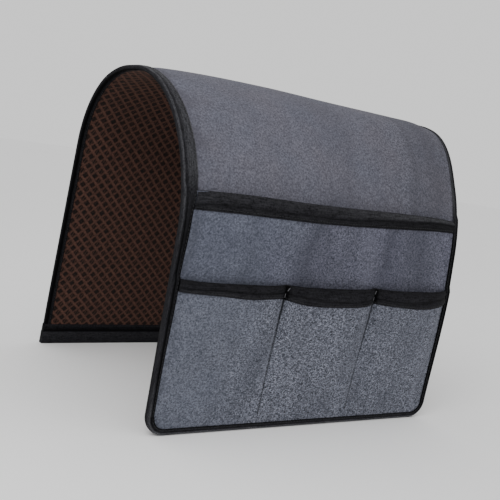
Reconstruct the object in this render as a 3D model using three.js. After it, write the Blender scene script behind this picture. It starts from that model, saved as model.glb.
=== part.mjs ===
import * as THREE from 'three';

// A padded cloth organizer that hangs over a sofa arm: a laminate of lining, padding and face
// cloth, draped as an arch, with a large pocket and three small ones on its front flap.
// Lengths are in millimetres and angles in degrees. Flat pattern: x runs along the sofa arm,
// s runs along the cloth from the front hem over the crown to the back hem, and n is the
// distance out from the middle of the padding.

// Drape, measured at the middle of the padding
const ORGANIZER_WIDTH = 330;
const FRONT_LEG = 178;
const FRONT_LEAN = 3.5;
const FRONT_ARC_RADIUS = 129;
const SADDLE_FLAT = 16;
const CROWN_RADIUS = 127;
const CROWN_TURN = 20;
const BACK_ARC_RADIUS = 94;
const BACK_LEAN = 10;

// Cloth
const PADDING_THICKNESS = 2.2;
const FACE_THICKNESS = 0.8;
const LINING_THICKNESS = 0.5;
const POCKET_THICKNESS = 0.8;
const TAPE_THICKNESS = 0.5;
const PLY_CLEARANCE = 0.25;

// Edge tape and hems
const EDGE_TAPE_WIDTH = 9;
const EDGE_FOLD = 1.6;
const CORNER_RADIUS = 18;
const BACK_BAND_HEIGHT = 24;
const BACK_BAND_FOLD_HEIGHT = 15;
const BACK_BAND_FOLD_THICKNESS = 1.4;

// Pockets
const LOWER_MOUTH = 142;
const UPPER_MOUTH = 217;
const LOWER_MOUTH_TAPE = 12;
const UPPER_MOUTH_TAPE = 14;
const LOWER_POCKET_COUNT = 3;
const LOWER_POCKET_DEPTH = 14;
const UPPER_POCKET_DEPTH = 9;
const UPPER_POCKET_TAPER = 1.6;
const LOWER_MOUTH_SAG = 1.2;
const UPPER_MOUTH_SAG = 0.6;

// Fineness of the facets
const BEND_STEP = 6.5;
const CORNER_STEPS = 5;
const BULGE_STATIONS = [-1, -0.93, -0.78, -0.45, 0, 0.45, 0.78, 0.93];
const POCKET_ROW = 22;
const TAPE_RAMP = 4;

const radians = THREE.MathUtils.degToRad;

// Levels of the plies along n
const FACE_INSIDE = PADDING_THICKNESS / 2 + PLY_CLEARANCE;
const FACE_OUTSIDE = FACE_INSIDE + FACE_THICKNESS;
const LINING_OUTSIDE = -PADDING_THICKNESS / 2 - PLY_CLEARANCE;
const LINING_INSIDE = LINING_OUTSIDE - LINING_THICKNESS;
const TAPE_ROOM = TAPE_THICKNESS + 2 * PLY_CLEARANCE;
const UPPER_POCKET_INSIDE = FACE_OUTSIDE + TAPE_ROOM;
const UPPER_POCKET_OUTSIDE = UPPER_POCKET_INSIDE + POCKET_THICKNESS;
const LOWER_POCKET_INSIDE = UPPER_POCKET_OUTSIDE + TAPE_ROOM;
const LOWER_POCKET_OUTSIDE = LOWER_POCKET_INSIDE + POCKET_THICKNESS;

// Limits of the plies inside the tapes
const EDGE_INSET = EDGE_FOLD + PLY_CLEARANCE;
const PLY_HALF_WIDTH = ORGANIZER_WIDTH / 2 - EDGE_INSET;
const PLY_CORNER_RADIUS = CORNER_RADIUS - EDGE_INSET;
const BULGE_HALF_WIDTH = ORGANIZER_WIDTH / 2 - EDGE_TAPE_WIDTH - PLY_CLEARANCE;
const BULGE_START = EDGE_TAPE_WIDTH + PLY_CLEARANCE;
const MOUTH_INSET = TAPE_THICKNESS + PLY_CLEARANCE;

// The centreline of the drape, as stretches that start where the one before ends.
function makeCentreline() {
  const stretches = [];
  let next = { s: 0, y: 0, z: 0, heading: radians(90 + FRONT_LEAN) };
  const add = (length, turn) => {
    const stretch = { ...next, length, turn: radians(turn) };
    stretches.push(stretch);
    next = { s: stretch.s + length, ...pointOn(stretch, length) };
  };
  const addArc = (radius, turn) => add(radius * radians(turn), turn);
  add(FRONT_LEG, 0);
  addArc(FRONT_ARC_RADIUS, 90 + FRONT_LEAN);
  add(SADDLE_FLAT, 0);
  addArc(CROWN_RADIUS, CROWN_TURN);
  addArc(BACK_ARC_RADIUS, 90 - CROWN_TURN - BACK_LEAN);
  add(next.z / Math.cos(radians(BACK_LEAN)), 0);
  return stretches;
}

// The place and heading at a distance along one stretch.
function pointOn(stretch, distance) {
  const heading = stretch.heading - (stretch.turn * distance) / stretch.length;
  if (stretch.turn === 0) {
    return {
      y: stretch.y + distance * Math.cos(heading),
      z: stretch.z + distance * Math.sin(heading),
      heading,
    };
  }
  const radius = stretch.length / stretch.turn;
  return {
    y: stretch.y + radius * (Math.sin(stretch.heading) - Math.sin(heading)),
    z: stretch.z + radius * (Math.cos(heading) - Math.cos(stretch.heading)),
    heading,
  };
}

const CENTRELINE = makeCentreline();
const BACK_LEG = CENTRELINE[CENTRELINE.length - 1];
const CLOTH_LENGTH = BACK_LEG.s + BACK_LEG.length;

// Both flaps lean, so towards a hem the plies slide along each other until the hem is level.
function hemSlide(s, n) {
  if (s < FRONT_LEG) {
    return n * Math.tan(radians(FRONT_LEAN)) * (1 - s / FRONT_LEG);
  }
  if (s > BACK_LEG.s) {
    return (n * Math.tan(radians(BACK_LEAN)) * (s - BACK_LEG.s)) / BACK_LEG.length;
  }
  return 0;
}

// Carries a point of the flat pattern onto the drape.
function drape(x, s, n) {
  const stretch = CENTRELINE.findLast((part) => part.s <= s) ?? CENTRELINE[0];
  const { y, z, heading } = pointOn(stretch, s - stretch.s);
  const slide = hemSlide(s, n);
  return new THREE.Vector3(
    x,
    y - n * Math.sin(heading) + slide * Math.cos(heading),
    z + n * Math.cos(heading) + slide * Math.sin(heading),
  );
}

// Stations along the cloth: where it bends between two limits, and the extra ones given.
function stationsAlong(from, to, extra = []) {
  const bends = CENTRELINE.flatMap((stretch) => {
    const count = Math.max(1, Math.ceil(THREE.MathUtils.radToDeg(stretch.turn) / BEND_STEP));
    return Array.from({ length: count }, (_, i) => stretch.s + (stretch.length * i) / count);
  });
  const least = 0.2;
  const inside = [...bends, ...extra].filter((s) => s > from + least && s < to - least);
  const sorted = [from, ...inside.sort((a, b) => a - b), to];
  return sorted.filter((s, i) => i === 0 || s - sorted[i - 1] > least || s === to);
}

// Rows of the rounded front corners, and rows for a pocket's bulge above them.
const CORNER_ROWS = Array.from({ length: CORNER_STEPS + 1 }, (_, i) => {
  const angle = (Math.PI / 2) * (i / CORNER_STEPS);
  return EDGE_INSET + PLY_CORNER_RADIUS * (1 - Math.cos(angle));
});

function pocketRows(mouth) {
  const count = Math.ceil((mouth - CORNER_RADIUS) / POCKET_ROW);
  const step = (mouth - CORNER_RADIUS) / count;
  return Array.from({ length: count - 1 }, (_, i) => CORNER_RADIUS + (i + 1) * step);
}

function halfWidthAt(s) {
  const below = PLY_CORNER_RADIUS - (s - EDGE_INSET);
  if (below <= 0) {
    return PLY_HALF_WIDTH;
  }
  return PLY_HALF_WIDTH - PLY_CORNER_RADIUS + Math.sqrt(PLY_CORNER_RADIUS ** 2 - below ** 2);
}

// Stations across the pockets, closer together beside each seam where the cloth turns in.
function stationsAcross() {
  const half = BULGE_HALF_WIDTH / LOWER_POCKET_COUNT;
  const inside = [];
  for (let pocket = 0; pocket < LOWER_POCKET_COUNT; pocket += 1) {
    const middle = -BULGE_HALF_WIDTH + half * (2 * pocket + 1);
    inside.push(...BULGE_STATIONS.map((u) => middle + u * half));
  }
  return [-PLY_HALF_WIDTH, ...inside, BULGE_HALF_WIDTH, PLY_HALF_WIDTH];
}

// How far a pocket stands out between its seams: a full, flat-topped curve across. From the hem
// to the mouth the lower pockets fill out early and the large one tapers open.
function acrossBulge(x, count) {
  const half = BULGE_HALF_WIDTH / count;
  const t = (x + BULGE_HALF_WIDTH) / (2 * half);
  if (t <= 0 || t >= count) {
    return 0;
  }
  const u = 2 * (t - Math.floor(t)) - 1;
  return 1 - u ** 4;
}

const riseTo = (s, mouth) =>
  THREE.MathUtils.clamp((s - BULGE_START) / (mouth - BULGE_START), 0, 1);
const upperBulge = (x, s) =>
  UPPER_POCKET_DEPTH * acrossBulge(x, 1) * riseTo(s, UPPER_MOUTH) ** UPPER_POCKET_TAPER;
const lowerBulge = (x, s) =>
  LOWER_POCKET_DEPTH * acrossBulge(x, LOWER_POCKET_COUNT)
  * Math.sin((riseTo(s, LOWER_MOUTH) * Math.PI) / 2);

// The two pocket panels: where each has its mouth, and its inner face at a point.
const UPPER_PANEL = {
  mouth: (x) => UPPER_MOUTH - UPPER_MOUTH_SAG * acrossBulge(x, 1),
  inside: (x, s) => UPPER_POCKET_INSIDE + upperBulge(x, s),
  rows: [...CORNER_ROWS, ...pocketRows(UPPER_MOUTH)],
  top: UPPER_MOUTH,
  tape: UPPER_MOUTH_TAPE,
};
const LOWER_PANEL = {
  mouth: (x) => LOWER_MOUTH - LOWER_MOUTH_SAG * acrossBulge(x, LOWER_POCKET_COUNT),
  inside: (x, s) => LOWER_POCKET_INSIDE + upperBulge(x, s) + lowerBulge(x, s),
  rows: [...CORNER_ROWS, ...pocketRows(LOWER_MOUTH)],
  top: LOWER_MOUTH,
  tape: LOWER_MOUTH_TAPE,
};

// A closed body from faces over shared points, turned so that its faces point out.
function closedBody(points, triangles) {
  const volume = triangles.reduce((sum, [a, b, c]) => {
    const cross = new THREE.Vector3().crossVectors(points[b], points[c]);
    return sum + points[a].dot(cross);
  }, 0);
  const outward = volume > 0 ? triangles : triangles.map(([a, b, c]) => [a, c, b]);
  const geometry = new THREE.BufferGeometry().setFromPoints(points);
  geometry.setIndex(outward.flat());
  geometry.computeVertexNormals();
  return geometry;
}

// A ply: two faces over one grid of rows and columns, closed along its border.
function plyBody(rows, columns, place) {
  const points = [];
  for (const side of [0, 1]) {
    for (let r = 0; r < rows; r += 1) {
      for (let c = 0; c < columns; c += 1) {
        points.push(place(r, c, side));
      }
    }
  }
  const index = (r, c, side) => (side * rows + r) * columns + c;
  const triangles = [];
  const quad = (a, b, c, d) => triangles.push([a, b, c], [a, c, d]);
  for (let r = 0; r + 1 < rows; r += 1) {
    for (let c = 0; c + 1 < columns; c += 1) {
      quad(index(r, c, 0), index(r + 1, c, 0), index(r + 1, c + 1, 0), index(r, c + 1, 0));
      quad(index(r, c, 1), index(r, c + 1, 1), index(r + 1, c + 1, 1), index(r + 1, c, 1));
    }
    quad(index(r, 0, 0), index(r, 0, 1), index(r + 1, 0, 1), index(r + 1, 0, 0));
    const last = columns - 1;
    quad(index(r, last, 0), index(r + 1, last, 0), index(r + 1, last, 1), index(r, last, 1));
  }
  for (let c = 0; c + 1 < columns; c += 1) {
    quad(index(0, c, 0), index(0, c + 1, 0), index(0, c + 1, 1), index(0, c, 1));
    const last = rows - 1;
    quad(index(last, c, 0), index(last, c, 1), index(last, c + 1, 1), index(last, c + 1, 0));
  }
  return closedBody(points, triangles);
}

// A folded tape: one section, given as a list of 2-D points, carried along its stations.
function tapeBody(sections, place) {
  const loops = sections.map((section) =>
    (THREE.ShapeUtils.isClockWise(section) ? section.toReversed() : section));
  const size = loops[0].length;
  const points = loops.flatMap((loop, i) => loop.map((point) => place(point, i)));
  const triangles = [];
  for (let i = 0; i + 1 < loops.length; i += 1) {
    for (let k = 0; k < size; k += 1) {
      const a = i * size + k;
      const b = i * size + ((k + 1) % size);
      triangles.push([a, a + size, b + size], [a, b + size, b]);
    }
  }
  const last = (loops.length - 1) * size;
  for (const [a, b, c] of THREE.ShapeUtils.triangulateShape(loops[0], [])) {
    triangles.push([a, b, c]);
  }
  for (const [a, b, c] of THREE.ShapeUtils.triangulateShape(loops.at(-1), [])) {
    triangles.push([last + a, last + c, last + b]);
  }
  return closedBody(points, triangles);
}

// The section of the edge tape, across an edge: x is the distance out from the plies' edge and
// y is the level. The fold is rounded on both corners.
function edgeSection(top) {
  const bottom = LINING_INSIDE - PLY_CLEARANCE - TAPE_THICKNESS;
  const inner = EDGE_INSET - EDGE_TAPE_WIDTH;
  const roundAt = (level, direction) =>
    [0, 45, 90].map((angle) => new THREE.Vector2(
      PLY_CLEARANCE + EDGE_FOLD * Math.sin(radians(angle)),
      level - direction * EDGE_FOLD * (1 - Math.cos(radians(angle))),
    ));
  return [
    new THREE.Vector2(inner, top - TAPE_THICKNESS),
    new THREE.Vector2(inner, top),
    ...roundAt(top, 1),
    ...roundAt(bottom, -1).reverse(),
    new THREE.Vector2(inner, bottom),
    new THREE.Vector2(inner, bottom + TAPE_THICKNESS),
    new THREE.Vector2(PLY_CLEARANCE, bottom + TAPE_THICKNESS),
    new THREE.Vector2(PLY_CLEARANCE, top - TAPE_THICKNESS),
  ];
}

// The outer level of the edge tape, which steps down past the mouth of each pocket.
const TAPE_LEVELS = [LOWER_POCKET_OUTSIDE, UPPER_POCKET_OUTSIDE, FACE_OUTSIDE]
  .map((level) => level + PLY_CLEARANCE + TAPE_THICKNESS);
const TAPE_STEPS = [LOWER_MOUTH, UPPER_MOUTH]
  .flatMap((mouth) => [mouth + PLY_CLEARANCE, mouth + PLY_CLEARANCE + TAPE_RAMP]);

function edgeTapeLevel(s) {
  const [lower, upper, face] = TAPE_LEVELS;
  const ramp = (start) => THREE.MathUtils.clamp((s - start) / TAPE_RAMP, 0, 1);
  return lower + (upper - lower) * ramp(TAPE_STEPS[0]) + (face - upper) * ramp(TAPE_STEPS[2]);
}

// A panel of the laminate between two levels, from hem to hem.
function laminatePly(inside, outside) {
  const rows = stationsAlong(EDGE_INSET, CLOTH_LENGTH - EDGE_INSET, CORNER_ROWS);
  return plyBody(rows.length, 2, (r, c, side) => {
    const s = rows[r];
    const x = (c === 0 ? -1 : 1) * halfWidthAt(s);
    return drape(x, s, side === 0 ? inside : outside);
  });
}

// A pocket panel: sewn in at the hem and both sides, standing out between its seams.
function pocketPanel(panel) {
  const across = stationsAcross();
  const top = panel.top - MOUTH_INSET;
  const rows = stationsAlong(EDGE_INSET, top, panel.rows);
  return plyBody(rows.length, across.length, (r, c, side) => {
    const share = (rows[r] - EDGE_INSET) / (top - EDGE_INSET);
    const x = (across[c] / PLY_HALF_WIDTH) * halfWidthAt(rows[r]);
    const s = rows[r] - share * (panel.top - panel.mouth(x));
    return drape(x, s, panel.inside(x, s) + side * POCKET_THICKNESS);
  });
}

// The tape folded over a pocket's mouth, between the two edge tapes.
function mouthTape(panel) {
  const across = stationsAcross().filter((x) => Math.abs(x) <= BULGE_HALF_WIDTH);
  const low = -panel.tape;
  const out = POCKET_THICKNESS + PLY_CLEARANCE;
  const section = [
    [low, -PLY_CLEARANCE - TAPE_THICKNESS],
    [0, -PLY_CLEARANCE - TAPE_THICKNESS],
    [0, out + TAPE_THICKNESS],
    [low, out + TAPE_THICKNESS],
    [low, out],
    [-TAPE_THICKNESS, out],
    [-TAPE_THICKNESS, -PLY_CLEARANCE],
    [low, -PLY_CLEARANCE],
  ].map(([ds, dn]) => new THREE.Vector2(ds, dn));
  return tapeBody(across.map(() => section), (point, i) => {
    const s = panel.mouth(across[i]) + point.x;
    return drape(across[i], s, panel.inside(across[i], s) + point.y);
  });
}

// The tape on one side edge, from the rounded front corner to the back band.
function sideTape(side) {
  const rows = stationsAlong(
    CORNER_RADIUS + PLY_CLEARANCE,
    CLOTH_LENGTH - BACK_BAND_HEIGHT - PLY_CLEARANCE,
    TAPE_STEPS,
  );
  return tapeBody(rows.map((s) => edgeSection(edgeTapeLevel(s))), (point, i) =>
    drape(side * (PLY_HALF_WIDTH + point.x), rows[i], point.y));
}

// The tape round the front hem and its two corners.
function frontHemTape() {
  const turns = Array.from({ length: CORNER_STEPS + 1 }, (_, i) => 90 * (i / CORNER_STEPS));
  const straight = PLY_HALF_WIDTH - PLY_CORNER_RADIUS;
  const path = [
    ...turns.map((turn) => ({ middle: -straight, turn: 180 + turn })),
    ...turns.map((turn) => ({ middle: straight, turn: 270 + turn })),
  ];
  const section = edgeSection(TAPE_LEVELS[0]);
  return tapeBody(path.map(() => section), (point, i) => {
    const reach = PLY_CORNER_RADIUS + point.x;
    const turn = radians(path[i].turn);
    const x = path[i].middle + reach * Math.cos(turn);
    return drape(x, CORNER_RADIUS + reach * Math.sin(turn), point.y);
  });
}

// The wide band folded over the back hem: a thin strip with a thicker fold below it.
function backHemBand() {
  const outer = FACE_OUTSIDE + PLY_CLEARANCE;
  const inner = LINING_INSIDE - PLY_CLEARANCE;
  const thick = BACK_BAND_FOLD_THICKNESS;
  const foldTop = -BACK_BAND_FOLD_HEIGHT;
  const half = thick / 2;
  const section = [
    [-BACK_BAND_HEIGHT, outer],
    [-BACK_BAND_HEIGHT, outer + TAPE_THICKNESS],
    [foldTop - half, outer + TAPE_THICKNESS],
    [foldTop + half, outer + thick],
    [-half, outer + thick],
    [0, outer + half],
    [0, inner - half],
    [-half, inner - thick],
    [foldTop + half, inner - thick],
    [foldTop - half, inner - TAPE_THICKNESS],
    [-BACK_BAND_HEIGHT, inner - TAPE_THICKNESS],
    [-BACK_BAND_HEIGHT, inner],
    [-EDGE_FOLD, inner],
    [-EDGE_FOLD, outer],
  ].map(([ds, n]) => new THREE.Vector2(ds, n));
  const ends = [-ORGANIZER_WIDTH / 2, ORGANIZER_WIDTH / 2];
  return tapeBody(ends.map(() => section), (point, i) =>
    drape(ends[i], CLOTH_LENGTH + point.x, point.y));
}

const felt = { color: 0x66666f, roughness: 0.95, metalness: 0 };
const pocketFelt = { color: 0x5a5e69, roughness: 0.95, metalness: 0 };
const brown = { color: 0x2e1f19, roughness: 0.9, metalness: 0 };
const foam = { color: 0xd8d4c8, roughness: 1, metalness: 0 };
const black = { color: 0x1c1c1f, roughness: 0.8, metalness: 0 };

const PIECES = [
  ['face_fabric', laminatePly(FACE_INSIDE, FACE_OUTSIDE), felt],
  ['foam_core', laminatePly(-PADDING_THICKNESS / 2, PADDING_THICKNESS / 2), foam],
  ['lining', laminatePly(LINING_INSIDE, LINING_OUTSIDE), brown],
  ['upper_pocket', pocketPanel(UPPER_PANEL), pocketFelt],
  ['upper_pocket_binding', mouthTape(UPPER_PANEL), black],
  ['lower_pocket', pocketPanel(LOWER_PANEL), pocketFelt],
  ['lower_pocket_binding', mouthTape(LOWER_PANEL), black],
  ['left_edge_binding', sideTape(-1), black],
  ['right_edge_binding', sideTape(1), black],
  ['front_hem_binding', frontHemTape(), black],
  ['back_hem_band', backHemBand(), black],
];

// The origin is below the middle of the whole organizer, at the level of its hems.
const group = new THREE.Group();
for (const [name, geometry, finish] of PIECES) {
  const mesh = new THREE.Mesh(geometry, new THREE.MeshStandardMaterial(finish));
  mesh.name = name;
  group.add(mesh);
}
const bounds = new THREE.Box3().setFromObject(group);
const middle = bounds.getCenter(new THREE.Vector3());
group.position.set(-middle.x, -middle.y, -bounds.min.z);
group.updateMatrixWorld(true);

export default group;
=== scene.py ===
import math

import bpy
import numpy as np
from mathutils import Matrix, Vector


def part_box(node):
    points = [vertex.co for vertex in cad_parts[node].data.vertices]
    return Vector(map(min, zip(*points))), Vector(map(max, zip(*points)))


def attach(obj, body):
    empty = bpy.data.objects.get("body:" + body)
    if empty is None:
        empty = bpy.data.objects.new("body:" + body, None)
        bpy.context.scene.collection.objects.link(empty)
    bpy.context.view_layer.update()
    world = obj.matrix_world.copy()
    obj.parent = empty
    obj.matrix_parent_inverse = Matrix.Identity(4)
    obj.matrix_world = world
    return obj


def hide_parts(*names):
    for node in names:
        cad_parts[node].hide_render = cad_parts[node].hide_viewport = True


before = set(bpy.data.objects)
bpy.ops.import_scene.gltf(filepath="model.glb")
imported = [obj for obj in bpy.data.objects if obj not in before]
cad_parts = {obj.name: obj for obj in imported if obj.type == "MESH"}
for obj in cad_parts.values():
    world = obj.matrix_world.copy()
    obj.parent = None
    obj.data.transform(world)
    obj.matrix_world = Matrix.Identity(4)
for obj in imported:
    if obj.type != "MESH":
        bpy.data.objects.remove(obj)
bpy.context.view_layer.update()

# The organizer is a laminate of lining, padding and face cloth, draped as an arch. In its flat
# pattern x runs along the sofa arm, s along the cloth from the front hem over the crown to the
# back hem, and n is the distance out from the middle of the padding. Lengths are in metres.
MM = 0.001

# Drape, measured at the middle of the padding
WIDTH = 330 * MM
FRONT_LEG = 178 * MM
FRONT_LEAN = math.radians(3.5)
FRONT_ARC = (129 * MM, math.radians(93.5))
SADDLE_FLAT = 16 * MM
CROWN_ARC = (127 * MM, math.radians(20))
BACK_ARC = (94 * MM, math.radians(60))
BACK_LEAN = math.radians(10)

# Cloth thicknesses, and the levels of the plies along n
PADDING = 2.2 * MM
FACE = 0.8 * MM
LINING = 0.5 * MM
POCKET = 0.8 * MM
TAPE = 0.5 * MM
GAP = 0.25 * MM
FACE_IN = PADDING / 2 + GAP
FACE_OUT = FACE_IN + FACE
LINING_OUT = -PADDING / 2 - GAP
LINING_IN = LINING_OUT - LINING
TAPE_ROOM = TAPE + 2 * GAP
UPPER_IN = FACE_OUT + TAPE_ROOM
UPPER_OUT = UPPER_IN + POCKET
LOWER_IN = UPPER_OUT + TAPE_ROOM
LOWER_OUT = LOWER_IN + POCKET

# Plies inside their tapes: FOLD is the room at an edge for the tape's own fold. The face is
# puffed up between the tapes, and the lining drawn up (HUG) at the edges of the crown.
FOLD = 1.6 * MM
INSET = FOLD + GAP
PLY_HALF = WIDTH / 2 - INSET
CORNER = 18 * MM
PLY_CORNER = CORNER - INSET
PUFF = 0.9 * MM
PUFF_INSET = 8 * MM
PUFF_RISE = 14 * MM
FRONT_PUFF_RISE = 30 * MM
HUG = 1.3 * MM
HUG_REACH = 70 * MM
HUG_INSET = 24 * MM
HUG_RISE = 16 * MM

# Edge tapes: a thick roll along the edge, a groove that nips the tape, and a strip on each face,
# which swells a little. Past each pocket's mouth the tape steps down, over a ramp.
ROLL = 2.8 * MM
ROLL_PUFF = 0.5 * MM
ROLL_DROP = 0.1 * MM
GROOVE = 0.9 * MM
TOP_NIP = 0.05 * MM
BOTTOM_NIP = 0.15 * MM
SWELL = 0.3 * MM
TAPE_TOPS = [level + GAP + TAPE for level in (LOWER_OUT, UPPER_OUT, FACE_OUT)]
TAPE_BOTTOM = LINING_IN - GAP - TAPE
RAMP = 4 * MM
HEM_STRIP = 6.5 * MM
BACK_STRIP = 7.5 * MM
# The strip's width on the outer face: places along the cloth, then widths, in millimetres
LEFT_STRIP = (
    (0, 60, 110, 150, 175, 200, 222, 250, 350, 420, 791),
    (5.8, 5.8, 7, 7.6, 8.8, 10.2, 14, 14, 9, 8, 8),
)
RIGHT_STRIP = (
    (0, 240, 300, 400, 480, 791),
    (7, 7, 5.5, 5, 7.5, 7.5),
)

# Where the edge tapes' painted light and shade begin to change along the cloth, and over what
# length
CROWN_TONE = (185 * MM, 55 * MM)
ROLL_TONE = (150 * MM, 80 * MM)
HIGH_TONE = (300 * MM, 60 * MM)
FAR_TONE = (385 * MM, 30 * MM)
CORNER_TONE = (CORNER, 45 * MM)

# Back band, with its thick fold at the hem and its painted light and shade round the section
BAND_HEIGHT = 24 * MM
BAND_FOLD_HEIGHT = 15 * MM
BAND_FOLD = 1.4 * MM
BAND_END_GAP = 0.05 * MM
BAND_END_STEP = 0.02 * MM
BAND_TONES = (0, 0, -0.6, 0.05, 0.1, 0, -0.2, 0, 0.1, -0.8, 0, 0, -1, -1)

# Stitches: length, gap and radius of each kind, how far a row lies inside its tape's edge, and
# how far above its face
TAPE_STITCH = (2.4 * MM, 0.9 * MM, 0.25 * MM)
SEAM_STITCH = (3 * MM, 0.5 * MM, 0.3 * MM)
TACK_STITCH = (4 * MM, 2.8 * MM, 0.28 * MM)
STITCH_INSET = 1.4 * MM
MOUTH_STITCH_INSET = 2 * MM
BAND_STITCH_INSET = 2 * MM
STITCH_LIFT = 0.1 * MM
SEAM_LIFT = 0.15 * MM
TACK_LIFT = 0.35 * MM

# Pockets
LOWER_MOUTH = 142 * MM
UPPER_MOUTH = 217 * MM
LOWER_TAPE = 12 * MM
UPPER_TAPE = 15.5 * MM
UPPER_TAPE_LEFT = 16 * MM
UPPER_TAPE_RIGHT = 11.5 * MM
POCKETS = 3
BELLIES = (9 * MM, 14 * MM, 14 * MM)
LIPS = (6 * MM, 8 * MM, 8 * MM)
LOWER_TAPER = 1.25
UPPER_DEPTH = 9 * MM
UPPER_TAPER = 1.6
LOWER_SAG = 0.2 * MM
LOWER_LIFT = 1.2 * MM
UPPER_SAG = 0.6 * MM
PANEL_SEAM = 9 * MM
BULGE_HALF = WIDTH / 2 - PANEL_SEAM - GAP
BULGE_START = PANEL_SEAM + GAP
# The mouths' tapes stand out in an upper and a lower roll
UPPER_ROLL = 1.3 * MM
LOWER_ROLL = 0.9 * MM
# How far to each side a seam flattens the tape
PINCH = 2.2 * MM
# The tacks: their ends, up from the mouth, and how far each leans to the right at its top
TACK_TOP = 1.8 * MM
TACK_BOTTOM = -12.2 * MM
TACK_LEANS = (2.4 * MM, 0.6 * MM)
LEAN_HEIGHT = 8 * MM

# Spacing of the mesh's rows
PLY_STEP = 4 * MM
PANEL_STEP = 2.2 * MM
MOUTH_STEP = 1.6 * MM
EDGE_STEP = 3 * MM
HEM_STEP = 6 * MM


class Profile:
    """The drape's side outline: stretches of line and arc, each from where the last ends."""

    def __init__(self, stretches):
        self.parts = []
        y, z, heading, start = 0.0, 0.0, math.pi / 2 + FRONT_LEAN, 0.0
        for length, turn in stretches:
            self.parts.append((start, y, z, heading, length, turn))
            y, z, heading = self.step(y, z, heading, length, turn, length)
            start += length
        last = z / math.cos(BACK_LEAN)
        self.parts.append((start, y, z, heading, last, 0.0))
        self.back_leg = start
        self.length = start + last

    @staticmethod
    def step(y, z, heading, length, turn, distance):
        if turn == 0:
            return y + distance * np.cos(heading), z + distance * np.sin(heading), heading
        radius = length / turn
        now = heading - distance / radius
        return (
            y + radius * (np.sin(heading) - np.sin(now)),
            z + radius * (np.cos(now) - np.cos(heading)),
            now,
        )

    def at(self, s):
        """y, z and heading at places along the outline."""
        s = np.asarray(s, float)
        out = np.zeros((3,) + s.shape)
        for i, (start, y, z, heading, length, turn) in enumerate(self.parts):
            end = np.inf if i == len(self.parts) - 1 else start + length
            low = -np.inf if i == 0 else start
            inside = (s >= low) & (s < end)
            now = self.step(y, z, heading, length, turn, s[inside] - start)
            for row, value in zip(out, now):
                row[inside] = value
        return out


def arc(radius, turn):
    return (radius * turn, turn)


OUTLINE = Profile([
    (FRONT_LEG, 0.0), arc(*FRONT_ARC), (SADDLE_FLAT, 0.0), arc(*CROWN_ARC), arc(*BACK_ARC)
])
LENGTH = OUTLINE.length
APEX = FRONT_LEG + FRONT_ARC[0] * FRONT_ARC[1] + SADDLE_FLAT / 2

# The frame's origin is below the middle of the organizer, so the outline's y is shifted to it.
foam_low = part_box("foam_core")[0]
sampled = OUTLINE.at(np.linspace(0, LENGTH, 2000))
SHIFT = foam_low[1] - (sampled[0] - PADDING / 2 * np.sin(sampled[2])).min()

# The seams between the lower pockets: places across, and where they start and end
SEAMS = tuple(BULGE_HALF * (2 * k / POCKETS - 1) for k in range(1, POCKETS))
SEAM_START = 14 * MM
SEAM_END = LOWER_MOUTH - LOWER_TAPE - 2 * MM

# How the crown rises between its edges: places across, then heights, in millimetres
CROWN_ACROSS = (
    (-165, -115, -30, 40, 120, 148, 165),
    (0.8, 4.2, 5.4, 3.1, 0.6, -1, -4.6),
)
CROWN_REACH = 110 * MM

# How far each end stands off the plain arch: places along the cloth, then distances out, in
# millimetres
LEFT_END = (
    (0, 90, 200, 330, 430, 530, 791),
    (-1, -0.7, 1.3, 0, -0.3, 1.4, 1),
)
RIGHT_END = (
    (0, 140, 200, 250, 310, 360, 440, 520, 640, 791),
    (2, 2, -2, 1, 11.3, 0, -9.3, -5, -0.5, 0),
)
# Slow ripples cross the cloth, which the hems hold straight over this reach
RIPPLE = 0.6 * MM
HEM_HOLD = 60 * MM

# How far the cloth by each pocket seam lies to the right of its true place, and how far across
# this reaches. Then where along the cloth it begins to grow at the second seam, and to fade at
# both, and over what length.
FIRST_SWAY, FIRST_REACH = 0.9 * MM, 40 * MM
SECOND_SWAY, SECOND_REACH = 2.5 * MM, 45 * MM
SWAY_GROWTH = (50 * MM, 80 * MM)
SWAY_FADE = (150 * MM, 65 * MM)


def smooth(t):
    t = np.clip(t, 0, 1)
    return t * t * (3 - 2 * t)


def ease(value, start, length):
    """0 up to start, then smoothly to 1 over a length."""
    return smooth((value - start) / length)


def curve(table, at):
    """A smooth curve through a table of places and values, both in millimetres."""
    places, values = (np.array(row) * MM for row in table)
    slopes = np.gradient(values, places)
    at = np.clip(at, places[0], places[-1])
    i = np.clip(np.searchsorted(places, at, side="right") - 1, 0, len(places) - 2)
    step = places[i + 1] - places[i]
    t = (at - places[i]) / step
    start = values[i] * (1 + 2 * t) * (1 - t) ** 2 + slopes[i] * step * t * (1 - t) ** 2
    end = values[i + 1] * t**2 * (3 - 2 * t) + slopes[i + 1] * step * t**2 * (t - 1)
    return start + end


def lift(x, s):
    """How far the whole laminate stands off its plain arch."""
    right = 0.5 + x / WIDTH
    ends = (1 - right) * curve(LEFT_END, s) + right * curve(RIGHT_END, s)
    crown = curve(CROWN_ACROSS, x) * np.exp(-(((s - APEX) / CROWN_REACH) ** 2))
    hem = smooth(s / HEM_HOLD) * smooth((LENGTH - s) / HEM_HOLD)
    wave = 0.5 * np.sin(31 * x + 17 * s + 0.6) + 0.35 * np.sin(23 * x - 29 * s + 2.1)
    return ends + crown + RIPPLE * wave * hem


def sway(x, s):
    """How far the cloth is moved to the right; its edges stay where they are."""
    first = FIRST_SWAY * np.exp(-(((x - SEAMS[0]) / FIRST_REACH) ** 2))
    growth = 1.0 + 0.9 * ease(s, *SWAY_GROWTH)
    second = SECOND_SWAY * growth * np.exp(-(((x - SEAMS[1]) / SECOND_REACH) ** 2))
    held = 1 - (2 * x / WIDTH) ** 2
    return (first + second) * held * (1 - ease(s, *SWAY_FADE))


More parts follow.
